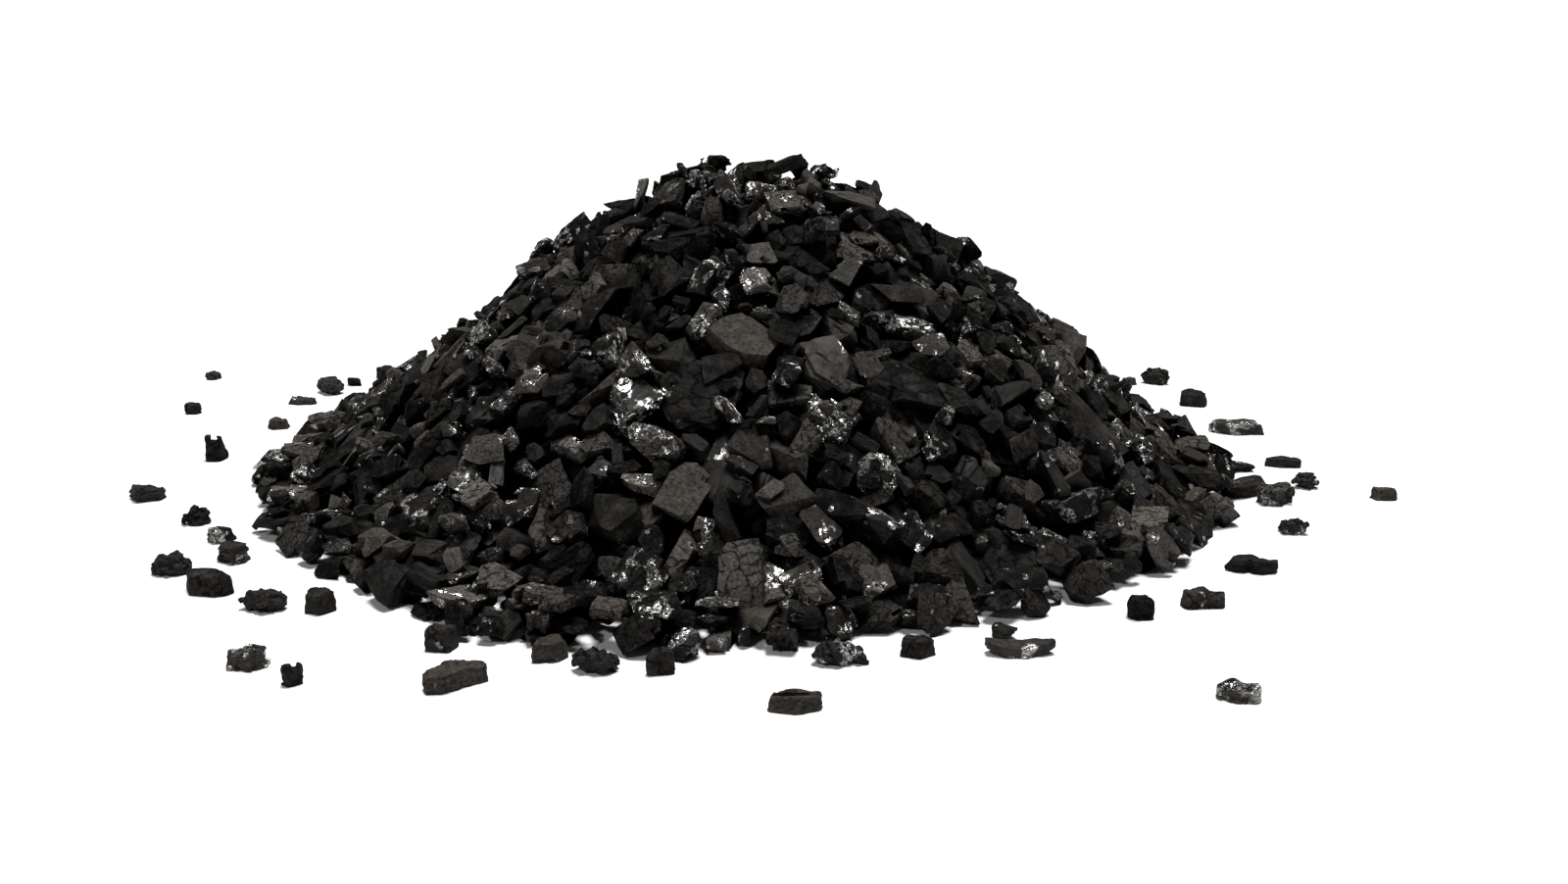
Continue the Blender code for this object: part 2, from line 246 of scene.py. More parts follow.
def modelMaster(kind, number, draw):
    look = granuleKinds[kind]
    size = [side * draw.uniform(1 - look["spread"], 1 + look["spread"]) for side in look["size"]]
    master = addBlock(f"{kind}Master{number}", size)
    start = draw.uniform(0, 2 * math.pi)
    sides = look["sides"] + draw.integers(-1, 2)
    for side in range(sides):
        uneven = draw.uniform(-masterDetail["uneven"], masterDetail["uneven"])
        around = start + 2 * math.pi * (side + uneven) / sides
        tip = draw.uniform(-look["tip"], look["tip"])
        facing = Vector((math.cos(around) / size[0], math.sin(around) / size[1], tip / size[2]))
        facing.normalize()
        breakAt(master, size, facing, draw.uniform(*look["reach"]))
    for upward in (-1, 1):
        tilt, around = math.radians(draw.uniform(0, look["wedge"])), draw.uniform(0, 2 * math.pi)
        facing = Vector((
            math.sin(tilt) * math.cos(around), math.sin(tilt) * math.sin(around), upward * math.cos(tilt),
        ))
        breakAt(master, size, facing, draw.uniform(*masterDetail["faceReach"]))
    for _ in range(look["chips"]):
        facing = Vector(draw.normal(0, 1, 3)).normalized()
        breakAt(master, size, facing, draw.uniform(*masterDetail["chipReach"]))
    if draw.random() < look["notched"]:
        cutNotch(master, size, draw)
    if kind == "shell":
        closeSurface(master, False, masterDetail["voxel"] * 2)
        useModifier(
            master, "SIMPLE_DEFORM", deform_method="BEND", deform_axis="Y",
            angle=math.radians(masterDetail["shellBend"]),
        )
    closeSurface(master, look["crisp"], masterDetail["voxel"])
    roughen(master, look, drawShift(draw))
    return master


def finishMaster(master, triangles):
    thinTo(master, triangles)
    middle = sum((Vector(corner) for corner in master.bound_box), Vector()) / 8
    master.data.transform(Matrix.Translation(-middle))
    bpy.ops.object.shade_smooth_by_angle(angle=math.radians(masterDetail["sharpAngle"]))
    master.hide_render = True


def surfaceSamples(mesh, draw):
    # points spread evenly over a master's faces
    mesh.calc_loop_triangles()
    corners = np.array([[mesh.vertices[i].co for i in face.vertices] for face in mesh.loop_triangles])
    across = np.cross(corners[:, 1] - corners[:, 0], corners[:, 2] - corners[:, 0])
    area = np.linalg.norm(across, axis=1)
    chosen = draw.choice(len(corners), masterDetail["samples"], p=area / area.sum())
    u, v = draw.random((2, masterDetail["samples"], 1))
    flip = u + v > 1
    u, v = np.where(flip, 1 - u, u), np.where(flip, 1 - v, v)
    a, b, c = corners[chosen].transpose(1, 0, 2)
    return a + u * (b - a) + v * (c - a)


masters = {}
masterDraw = np.random.default_rng(masterDetail["seed"])
for kind in granuleKinds:
    masters[kind] = []
    for number in range(granuleKinds[kind]["masters"]):
        master = modelMaster(kind, number, masterDraw)
        plain = master.copy()
        plain.data = master.data.copy()
        plain.name = f"{kind}Fill{number}"
        bpy.context.scene.collection.objects.link(plain)
        finishMaster(master, masterDetail["outerTriangles"])
        pickOnly(plain)
        finishMaster(plain, masterDetail["fillTriangles"])
        samples = surfaceSamples(master.data, masterDraw)
        masters[kind].append({"outer": master, "fill": plain, "samples": samples})
print("master granules modelled:", sum(len(found) for found in masters.values()))


# The heap's form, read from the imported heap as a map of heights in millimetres

heapForm = {
    "cell": 0.35, "half": 62.0, "castStep": 1.0, "castFrom": 100, "blur": 3, "footOfPacked": 0.3,
    "rise": 0.75, "highest": 33.6, "coreScale": 0.87, "skirtRadius": 50.8, "skirtHeight": 2.3,
    "skirtFade": 1.6, "ragged": 1.6, "waves": ((0.3, 7), (1.1, 13), (2.0, 19), (0.7, 31)),
    "lumps": (
        (0, 1, -1.2, 6), (-6, 2, 1.1, 4), (11, 4, 0.2, 5), (22, 5, 1.7, 7), (30, 5, 1.7, 6),
        (38, 6, 1.9, 6), (-14, 4, 1.0, 5), (-33, 4, -2.3, 6), (-39, 4, 0.4, 3), (-43, 4, 1.4, 5),
        (-24, 4, 0.6, 3),
    ),  # x, y, rise and spread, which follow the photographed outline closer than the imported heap
    "bulges": (
        (-112, 2.2, 22), (-62, -2.0, 18), (180, 1.6, 25), (-180, 1.6, 25), (0, -1.0, 24),
    ),  # direction in degrees, rise in millimetres and spread in degrees, round the foot
}


def blurred(heights, times):
    # each cell takes the mean of itself and the eight around it
    for _ in range(times):
        padded = np.pad(heights, 1, mode="edge")
        heights = sum(
            padded[1 + a:padded.shape[0] - 1 + a, 1 + b:padded.shape[1] - 1 + b]
            for a in (-1, 0, 1) for b in (-1, 0, 1)
        ) / 9
    return heights


def heapHeights():
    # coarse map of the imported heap's top by rays from above, blurred
    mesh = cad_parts["heap"].data
    tree = BVHTree.FromPolygons([v.co for v in mesh.vertices], [p.vertices for p in mesh.polygons])
    half, step = heapForm["half"], heapForm["castStep"]
    places = np.arange(-half, half + step / 2, step)
    heights = np.zeros((len(places), len(places)))
    for i, x in enumerate(places):
        for j, y in enumerate(places):
            hit = tree.ray_cast(Vector((x * mm, y * mm, heapForm["castFrom"] * mm)), Vector((0, 0, -1)))[0]
            heights[i, j] = hit.z / mm if hit else 0.0
    return places, blurred(heights, heapForm["blur"])


def onFineGrid(places, heights):
    fine = np.arange(places[0], places[-1], heapForm["cell"])
    alongX = np.array([np.interp(fine, places, column) for column in heights.T]).T
    return fine, np.array([np.interp(fine, places, row) for row in alongX])


castPlaces, castHeights = heapHeights()
gridPlaces, packedTop = onFineGrid(castPlaces, castHeights)
gridX, gridY = np.meshgrid(gridPlaces, gridPlaces, indexing="ij")
gridRadius = np.hypot(gridX, gridY)
gridAngle = np.arctan2(gridY, gridX)
raggedEdge = sum(
    math.cos(turn) * np.cos(waves * gridAngle + 2 * turn) for turn, waves in heapForm["waves"]
)
bulges = sum(
    rise * np.exp(-((np.degrees(gridAngle) - towards) / spread) ** 2)
    for towards, rise, spread in heapForm["bulges"]
)
skirtEdge = heapForm["skirtRadius"] + 0.5 * heapForm["ragged"] * raggedEdge + bulges
skirt = heapForm["skirtHeight"] * np.clip((skirtEdge - gridRadius) / heapForm["skirtFade"], 0, 1)
lumps = sum(
    rise * np.exp(-((gridX - x) ** 2 + (gridY - y) ** 2) / spread ** 2)
    for x, y, rise, spread in heapForm["lumps"]
)
target = np.where(packedTop > heapForm["footOfPacked"], packedTop + heapForm["rise"] + lumps, 0)
target = np.minimum(np.maximum(target, skirt), heapForm["highest"])
slopeX, slopeY = np.gradient(target, heapForm["cell"])
coreScale = heapForm["coreScale"]
corePlaces = gridPlaces / coreScale
coreTop = np.array([np.interp(corePlaces, gridPlaces, column, 0, 0) for column in packedTop.T]).T
coreTop = coreScale * np.array([np.interp(corePlaces, gridPlaces, row, 0, 0) for row in coreTop])
print("heap form read, top at", round(float(target.max()), 1), "mm")


# Laying the granules, from the core outwards

laying = {
    "seed": 23, "attempts": 8000, "spots": 30, "tries": 10, "scale": (0.99, 0.38), "smallest": 0.32,
    "largest": 1.42, "stretch": (0.8, 1.25), "shift": (-40, 40), "over": 0.7, "proud": (0.2, 2.0),
    "standing": 4.0, "nestle": 0.955, "excessWeight": 0.5, "leastHeight": 0.6, "lean": 24, "onEdge": 0.22,
    "edgeLean": (0.6, 1.6), "crownLean": (1.2, 1.9), "footHeight": 3.6, "footLean": 0.3, "loosePad": 0.25,
    "blocked": 500.0, "seen": 0.3, "seenShare": 0.04, "hidden": 3.0,
}  # lean is in degrees, the leans on edge are in radians, and lengths are in millimetres
kindShares = {
    "tabular": 0.53, "block": 0.09, "splinter": 0.10, "laminated": 0.12, "crumb": 0.12, "shell": 0.04,
}
edgeGranules = (
    ("tabular", -37.9, -33.2, 3.5), ("crumb", -34.4, -37.8, 4.7), ("tabular", 50.7, -9.0, 5.1),
    ("block", 45.9, -19.0, 4.3), ("tabular", 52.0, -0.8, 3.2), ("splinter", 50.9, 11.8, 7.9),
    ("block", 29.2, -39.0, 3.8), ("tabular", -2.0, -48.4, 3.6), ("crumb", 3.0, -49.8, 2.6),
    ("laminated", -22.0, -45.2, 3.1), ("laminated", -17.3, -38.5, 3.4), ("laminated", 21.4, -47.7, 2.3),
)  # kind, x, y and length of granules at the foot that can be made out in the photograph
crownGranules = (
    ("splinter", -7.6, 0.5, 4.6), ("tabular", -5.6, -1.5, 3.6), ("splinter", -3.2, 0.0, 4.4),
    ("tabular", 0.2, 1.0, 3.8), ("splinter", 3.0, -0.5, 4.6), ("laminated", 5.4, 1.0, 3.8),
)  # granules that stand on end on the crest


def turnedTo(normal, lean, towards, spin):
    upright = Vector((0, 0, 1)).rotation_difference(normal).to_matrix()
    axis = Vector((math.cos(towards), math.sin(towards), 0))
    return np.array(upright @ Matrix.Rotation(lean, 3, axis) @ Matrix.Rotation(spin, 3, "Z"))


def cellsOf(points):
    return ((points[..., :2] - gridPlaces[0]) / heapForm["cell"] + 0.5).astype(int)


def startHeights():
    heights = coreTop.copy()
    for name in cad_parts:
        if name != "heap":
            low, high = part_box(name)
            pad = laying["loosePad"]
            inside = (gridX > low.x / mm - pad) & (gridX < high.x / mm + pad)
            inside &= (gridY > low.y / mm - pad) & (gridY < high.y / mm + pad)
            heights[inside] = laying["blocked"]
    return heights


def layGranules():
    draw = np.random.default_rng(laying["seed"])
    heights = startHeights()
    region = np.argwhere(target > laying["leastHeight"])
    kinds, shares = list(kindShares), list(kindShares.values())
    laid, waiting, crowning = [], list(edgeGranules), False
    for attempt in range(laying["attempts"]):
        if attempt == laying["attempts"] - len(crownGranules):
            waiting, crowning = list(crownGranules), True
        tries = laying["tries"]
        if waiting:
            kind, x, y, length = waiting.pop(0)
            scale = length / granuleKinds[kind]["size"][0]
            spot = np.round((np.array((x, y)) - gridPlaces[0]) / heapForm["cell"]).astype(int)
            spots = np.array([spot] * tries)
            over = laying["standing"]
        else:
            kind = kinds[draw.choice(len(kinds), p=shares)]
            usual, spread = laying["scale"]
            scale = usual * math.exp(draw.normal(0, spread))
            scale = np.clip(scale, laying["smallest"], laying["largest"])
            spots = region[draw.integers(0, len(region), laying["spots"])]
            room = target[spots[:, 0], spots[:, 1]] - heights[spots[:, 0], spots[:, 1]]
            spots = spots[np.argsort(-room)[:tries]]
            over = laying["proud"][1] if draw.random() < laying["proud"][0] else laying["over"]
        number = int(draw.integers(len(masters[kind])))
        stretch = scale * draw.uniform(*laying["stretch"], 3)
        turns = []
        for i, j in spots:
            normal = Vector((-slopeX[i, j], -slopeY[i, j], 1)).normalized()
            lean = draw.normal(0, math.radians(laying["lean"]))
            if crowning:
                lean = draw.uniform(*laying["crownLean"])
            elif target[i, j] < laying["footHeight"]:
                lean *= laying["footLean"]
            elif draw.random() < laying["onEdge"] or kind == "crumb" or over == laying["proud"][1]:
                lean = draw.uniform(*laying["edgeLean"])
            towards, spin = draw.uniform(0, 2 * math.pi), draw.uniform(0, 2 * math.pi)
            turns.append(turnedTo(normal, lean, towards, spin))
        samples = masters[kind][number]["samples"] * stretch
        points = np.einsum("sk,tjk->tsj", samples, np.array(turns))
        points[..., 0] += gridPlaces[spots[:, 0], None]
        points[..., 1] += gridPlaces[spots[:, 1], None]
        cells = np.clip(cellsOf(points), 0, len(gridPlaces) - 1)
        below = heights[cells[..., 0], cells[..., 1]]
        drop = np.quantile(below - points[..., 2], laying["nestle"], axis=1)
        drop = np.maximum(drop, -points[..., 2].min(axis=1))
        tops = points[..., 2] + drop[:, None]
        excess = (tops - target[cells[..., 0], cells[..., 1]]).max(axis=1)
        allowed = (excess < over) & (tops.max(axis=1) < heapForm["highest"])
        allowed &= below.max(axis=1) < laying["blocked"]
        if not allowed.any():
            continue
        score = (tops - below).mean(axis=1)
        score += laying["excessWeight"] * np.maximum(excess, 0) * (over == laying["over"])
        score = np.where(allowed, -tops.max(axis=1) if crowning else score, np.inf)
        best = int(np.argmin(score))
        np.maximum.at(heights, (cells[best, :, 0], cells[best, :, 1]), tops[best])
        laid.append({
            "kind": kind, "number": number, "turn": turns[best], "stretch": stretch,
            "place": (*[gridPlaces[cell] for cell in spots[best]], drop[best]),
            "cells": cells[best], "tops": tops[best],
            "tint": float(draw.random()), "shift": draw.uniform(*laying["shift"], 3),
        })
    return laid, heights


def keepSeen(laid, heights):
    # granules that reach the air are fine, those just below are plain, and the rest are left out
    kept = []
    for one in laid:
        cover = heights[one["cells"][:, 0], one["cells"][:, 1]] - one["tops"]
        one["outer"] = float((cover < laying["seen"]).mean()) > laying["seenShare"]
        if one["outer"] or float(cover.min()) < laying["hidden"]:
            kept.append(one)
    return kept


laid, laidTop = layGranules()
unfilled = (target > 2) & (laidTop < laying["blocked"])
room = float((target - laidTop)[unfilled].mean())
print("granules laid:", len(laid), "room left:", round(room, 2), "mm")
laid = keepSeen(laid, laidTop)
print("granules kept:", len(laid), "of which fine:", sum(one["outer"] for one in laid))


# Materials: every pattern lies in grainSpace, which is in millimetres and moves with each granule

def newMaterial(name):
    material = bpy.data.materials.new(name)
    material.use_nodes = True
    return material, material.node_tree.nodes["Principled BSDF"]


def addNode(material, kind, links=None, **choices):
    # choices that name a socket set it, the rest set the node's own options
    node = material.node_tree.nodes.new(kind)
    for name, value in choices.items():
        if name in node.inputs:
            node.inputs[name].default_value = value
        else:
            setattr(node, name, value)
    for name, source in (links or {}).items():
        material.node_tree.links.new(source, node.inputs[name])
    return node


def feed(material, socket, value):
    if isinstance(value, (int, float, tuple)):
        socket.default_value = value
    else:
        material.node_tree.links.new(value, socket)


def addMath(material, operation, first, second):
    node = addNode(material, "ShaderNodeMath", operation=operation)
    feed(material, node.inputs[0], first)
    feed(material, node.inputs[1], second)
    return node.outputs[0]


def addVectorMath(material, operation, first, second):
    node = addNode(material, "ShaderNodeVectorMath", operation=operation)
    feed(material, node.inputs[0], first)
    feed(material, node.inputs[1], second)
    return node.outputs["Value" if operation == "DOT_PRODUCT" else "Vector"]


def addRange(material, value, low, high, toLow=0.0, toHigh=1.0):
    node = addNode(material, "ShaderNodeMapRange", {"Value": value})
    for name, limit in (("From Min", low), ("From Max", high), ("To Min", toLow), ("To Max", toHigh)):
        node.inputs[name].default_value = limit
    return node.outputs["Result"]


def addBlend(material, share, first, second):
    node = addNode(material, "ShaderNodeMix", data_type="FLOAT")
    for socket, value in zip((node.inputs[0], node.inputs[2], node.inputs[3]), (share, first, second)):
        feed(material, socket, value)
    return node.outputs[0]


def addColourBlend(material, share, first, second, how="MIX"):
    node = addNode(material, "ShaderNodeMix", data_type="RGBA", blend_type=how)
    for socket, value in zip((node.inputs[0], node.inputs[6], node.inputs[7]), (share, first, second)):
        feed(material, socket, value)
    return node.outputs[2]


charcoalLooks = {
    "tabular": {
        "dark": (0.0024, 0.0023, 0.0021), "pale": (0.098, 0.0915, 0.0840), "rough": (0.62, 0.92),
        "specular": 0.06, "stretch": (1, 1, 1), "pits": 0.55, "cracks": 1.0, "gloss": 0.28, "bump": 1.0,
    },
    "block": {
        "dark": (0.0023, 0.0022, 0.0020), "pale": (0.088, 0.0822, 0.0752), "rough": (0.60, 0.90),
        "specular": 0.06, "stretch": (1, 1, 1), "pits": 0.6, "cracks": 1.0, "gloss": 0.30, "bump": 1.0,
    },
    "splinter": {
        "dark": (0.0024, 0.0022, 0.0020), "pale": (0.072, 0.0668, 0.0606), "rough": (0.50, 0.80),
        "specular": 0.10, "stretch": (0.25, 1.5, 1.5), "pits": 0.3, "cracks": 0.3, "gloss": 0.24,
        "bump": 1.0,
    },
    "laminated": {
        "dark": (0.0022, 0.0021, 0.0019), "pale": (0.076, 0.0706, 0.0642), "rough": (0.44, 0.76),
        "specular": 0.12, "stretch": (0.5, 0.5, 2.4), "pits": 0.3, "cracks": 0.3, "gloss": 0.50,
        "bump": 1.0,
    },
    "crumb": {
        "dark": (0.0019, 0.0018, 0.0017), "pale": (0.046, 0.0430, 0.0394), "rough": (0.44, 0.76),
        "specular": 0.12, "stretch": (1, 1, 1), "pits": 0.9, "cracks": 0.3, "gloss": 0.46, "bump": 1.0,
    },
    "shell": {
        "dark": (0.0024, 0.0022, 0.0020), "pale": (0.078, 0.0724, 0.0656), "rough": (0.48, 0.76),
        "specular": 0.10, "stretch": (0.5, 1.2, 1.2), "pits": 0.3, "cracks": 0.4, "gloss": 0.3, "bump": 1.0,
    },
    # near black: painted shade, for the core and the hidden granules, which show only in the gaps
    "paintedShadeBlack": {
        "dark": (0.0008, 0.0008, 0.0007), "pale": (0.0020, 0.0019, 0.0017), "rough": (0.85, 0.98),
        "specular": 0.0, "stretch": (1, 1, 1), "pits": 0.5, "cracks": 0.0, "gloss": 0.0, "bump": 0.5,
    },
}
patternDetail = {
    "broad": (0.8, 3.0), "fine": (3.4, 4.0), "patches": (0.62, 2.0), "wander": (1.5, 5.0),
    "gaping": (1.3, 1.0), "pits": 2.5, "cracks": 0.8, "flakes": 2.7, "pitRange": (0.06, 0.3),
    "fineRange": (0.3, 0.7), "crackWander": 1.0, "crackWidth": 0.1, "crackClosing": (0.46, 0.7, 0.0, 0.12),
    "uncracked": (0.62, 0.66), "patchLuck": (0.5, 1.0, -0.12, 0.14), "glossFrom": 0.70, "glossWiden": 0.32,
    "glossEdge": 0.04, "flakeTilt": 6.0, "polish": (0.1, 0.36), "vitreous": (0.35, 0.342, 0.33),
    "warmth": (1.06, 0.975, 0.90), "toneRange": (0.44, 0.8), "toneShare": 0.24, "tintPower": 3.3,
    "tintShare": 0.76, "shadeFrom": -0.25, "shadeTo": 0.9, "shadeLeft": 0.01, "fineShade": (0.35, 1.6),
    "pitPaintedShade": 0.6, "crackPaintedShade": 0.9, "fineHeight": 0.7, "pitHeight": 0.6, "crackHeight": 0.9,
    "relief": 0.18,
}  # broad, fine, patches, wander and gaping hold the scale and the detail of a noise
tintDraws = {"cracks": 7.3, "gloss": 13.7, "warmth": 23.1}  # each gives a separate draw from the tint


def charcoalMaterial(kind):
    look, detail = charcoalLooks[kind], patternDetail
    material, shader = newMaterial(f"{kind}Charcoal")
    space = addNode(material, "ShaderNodeAttribute", attribute_name="grainSpace").outputs["Vector"]
    tint = addNode(material, "ShaderNodeAttribute", attribute_name="grainTint").outputs["Fac"]
    depth = addNode(material, "ShaderNodeAttribute", attribute_name="depthForPaintedShade").outputs["Fac"]
    mapping = addNode(material, "ShaderNodeMapping", {"Vector": space}, Scale=look["stretch"])
    grain = mapping.outputs["Vector"]

    def noise(places, pattern, output="Fac"):
        scale, octaves = detail[pattern]
        node = addNode(material, "ShaderNodeTexNoise", {"Vector": places}, Scale=scale, Detail=octaves)
        return node.outputs[output]

    def cells(places, pattern, **choices):
        choices["Scale"] = detail[pattern]
        return addNode(material, "ShaderNodeTexVoronoi", {"Vector": places}, **choices)

    def times(first, second):
        return addMath(material, "MULTIPLY", first, second)

    def plus(first, second):
        return addMath(material, "ADD", first, second)

    def drawn(purpose):
        return addMath(material, "FRACT", times(tint, tintDraws[purpose]), 0.0)

    broad = noise(grain, "broad")
    fine = noise(grain, "fine")
    pits = addRange(material, cells(grain, "pits").outputs["Distance"], *detail["pitRange"])

    # cracks: thin walls between wandering cells, closed in places, on about two thirds of the granules
    wander = noise(space, "wander", "Color")
    wander = addVectorMath(material, "MULTIPLY", wander, (detail["crackWander"],) * 3)
    wandered = addVectorMath(material, "ADD", space, wander)
    walls = cells(wandered, "cracks", feature="DISTANCE_TO_EDGE").outputs["Distance"]
    closed = addRange(material, noise(space, "gaping"), *detail["crackClosing"])
    unbroken = addRange(material, plus(walls, closed), 0.0, detail["crackWidth"])
    spared = addRange(material, drawn("cracks"), *detail["uncracked"])
    cracks = addMath(material, "MAXIMUM", unbroken, spared)

    # glossy fractures: patches of small facets, each with its own tilt
    patches = plus(noise(space, "patches"), addRange(material, drawn("gloss"), *detail["patchLuck"]))
    edge = detail["glossFrom"] - detail["glossWiden"] * look["gloss"]
    glossy = addRange(material, patches, edge, edge + detail["glossEdge"]) if look["gloss"] else 0.0
    flakes = cells(grain, "flakes")
    leaning = addVectorMath(material, "SUBTRACT", flakes.outputs["Color"], (0.5, 0.5, 0.5))
    across = addVectorMath(material, "SUBTRACT", grain, flakes.outputs["Position"])
    facets = times(addVectorMath(material, "DOT_PRODUCT", leaning, across), detail["flakeTilt"])
    polish = addNode(material, "ShaderNodeSeparateColor", {"Color": flakes.outputs["Color"]}).outputs["Red"]

    # most granules are dark and a few are paler, and all are darkened with depth below the heap's top, as
    # painted shade in the gaps
    tone = times(addRange(material, broad, *detail["toneRange"]), detail["toneShare"])
    tone = plus(tone, times(addMath(material, "POWER", tint, detail["tintPower"]), detail["tintShare"]))
    warm = np.multiply(look["pale"], detail["warmth"]).tolist()
    pale = addColourBlend(material, drawn("warmth"), (*look["pale"], 1), (*warm, 1))
    colour = addColourBlend(material, tone, (*look["dark"], 1), pale)
    colour = addColourBlend(material, glossy, colour, (*detail["vitreous"], 1))
    # painted shade: darker with depth into the gaps between granules
    shade = addRange(material, depth, detail["shadeFrom"], detail["shadeTo"], 1.0, detail["shadeLeft"])
    # painted shade in the pits and in the cracks
    shade = times(shade, addRange(material, pits, 0, 1, 1 - detail["pitPaintedShade"] * look["pits"], 1.0))
    shade = times(shade, addRange(material, cracks, 0, 1, 1 - detail["crackPaintedShade"] * look["cracks"], 1.0))
    shade = times(shade, addRange(material, fine, *detail["fineRange"], *detail["fineShade"]))
    feed(material, shader.inputs["Base Color"], addColourBlend(material, 1.0, colour, shade, "MULTIPLY"))

    matte = addRange(material, fine, *detail["fineRange"], *look["rough"])
    polished = addRange(material, polish, 0, 1, *detail["polish"])
    feed(material, shader.inputs["Roughness"], addBlend(material, glossy, matte, polished))
    feed(material, shader.inputs["Metallic"], glossy)
    shader.inputs["Specular IOR Level"].default_value = look["specular"]

    height = times(fine, detail["fineHeight"])
    height = plus(height, times(pits, detail["pitHeight"] * look["pits"]))
    height = plus(height, times(cracks, detail["crackHeight"] * look["cracks"]))
    height = plus(height, times(facets, glossy))
    bump = addNode(
        material, "ShaderNodeBump", {"Height": height}, Strength=look["bump"],
        Distance=detail["relief"] * mm,
    )
    feed(material, shader.inputs["Normal"], bump.outputs["Normal"])
    return material


charcoals = {kind: charcoalMaterial(kind) for kind in charcoalLooks}
print("materials made:", len(charcoals))


# Marks that the materials read

def meshPlaces(mesh):
    places = np.empty(len(mesh.vertices) * 3, np.float32)
    mesh.vertices.foreach_get("co", places)
    return places.reshape(-1, 3)


def markGrain(mesh, toMillimetres, shift, tint):
    # gives a granule its own stretch of the patterns, and its own tone
    places = meshPlaces(mesh) * toMillimetres + np.asarray(shift, np.float32)
    spaceMark = mesh.attributes.new("grainSpace", "FLOAT_VECTOR", "POINT")
    spaceMark.data.foreach_set("vector", places.astype(np.float32).ravel())
    tintMark = mesh.attributes.new("grainTint", "FLOAT", "POINT")
    tintMark.data.foreach_set("value", np.full(len(mesh.vertices), tint, np.float32))


# the laid top, blurred, from which the depth for the painted shade is measured
shadeTop = blurred(np.where(laidTop < laying["blocked"], laidTop, 0), heapForm["blur"])


def markDepthForPaintedShade(mesh):
    # how far each point lies below the top of the heap around it, square to the slope, which the materials
    # turn into painted shade
    places = meshPlaces(mesh) * 1000
    cells = np.clip(cellsOf(places), 0, len(gridPlaces) - 1)
    steep = np.hypot(slopeX, slopeY)[cells[:, 0], cells[:, 1]]
    depth = (shadeTop[cells[:, 0], cells[:, 1]] - places[:, 2]) / np.sqrt(1 + steep ** 2)
    depthMark = mesh.attributes.new("depthForPaintedShade", "FLOAT", "POINT")
    depthMark.data.foreach_set("value", depth.astype(np.float32))


# The heap's pieces: copies of the masters, joined by kind

heapPieces = {
    "outerEach": {"tabular": 4, "block": 2, "splinter": 1, "laminated": 1, "crumb": 2, "shell": 1},
    "inner": "paintedShadeBlack", "coreTint": 0.2,
}


def copyGranule(one, level, name):
    granule = masters[one["kind"]][one["number"]][level].copy()
    granule.data = granule.data.copy()
    granule.name = name
    markGrain(granule.data, 1.0, one["shift"], one["tint"])
    stretch = Matrix.Diagonal((*[float(part) for part in one["stretch"]], 1))
    turn = Matrix([[float(part) for part in row] for row in one["turn"]]).to_4x4()
    place = Matrix.Translation([float(part) for part in one["place"]])
    granule.data.transform(Matrix.Scale(mm, 4) @ place @ turn @ stretch)
    granule.hide_render = False
    bpy.context.scene.collection.objects.link(granule)
    return granule


def joinGranules(name, chosen, level, material):
    granules = [copyGranule(one, level, f"{name}Part") for one in chosen]
    deselectAll()
    for granule in granules:
        granule.select_set(True)
    bpy.context.view_layer.objects.active = granules[0]
    bpy.ops.object.join()
    piece = bpy.context.object
    piece.name = name
    giveMaterial(piece.data, material)
    keepAboveFloor(piece.data)
    markDepthForPaintedShade(piece.data)
    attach(piece, "root")
    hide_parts("heap")


for kind, count in heapPieces["outerEach"].items():
    chosen = [one for one in laid if one["outer"] and one["kind"] == kind]
    for part in range(count):
        joinGranules(f"{kind}Granules{part + 1}", chosen[part::count], "outer", charcoals[kind])
# the hidden granules take the near-black painted-shade material
inner = [one for one in laid if not one["outer"]]
joinGranules("innerGranules", inner, "fill", charcoals[heapPieces["inner"]])
print("heap pieces joined")


# The core, which fills the heap below the granules that can be seen

def buildCore():
    core = copyOfNode("heap", "heapCore")
    core.data.transform(Matrix.Scale(heapForm["coreScale"], 4))
    markGrain(core.data, 1000, (0, 0, 0), heapPieces["coreTint"])
    # the core takes the near-black painted-shade material
    giveMaterial(core.data, charcoals[heapPieces["inner"]])
    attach(core, "root")
    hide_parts("heap")


buildCore()
print("heap core built")


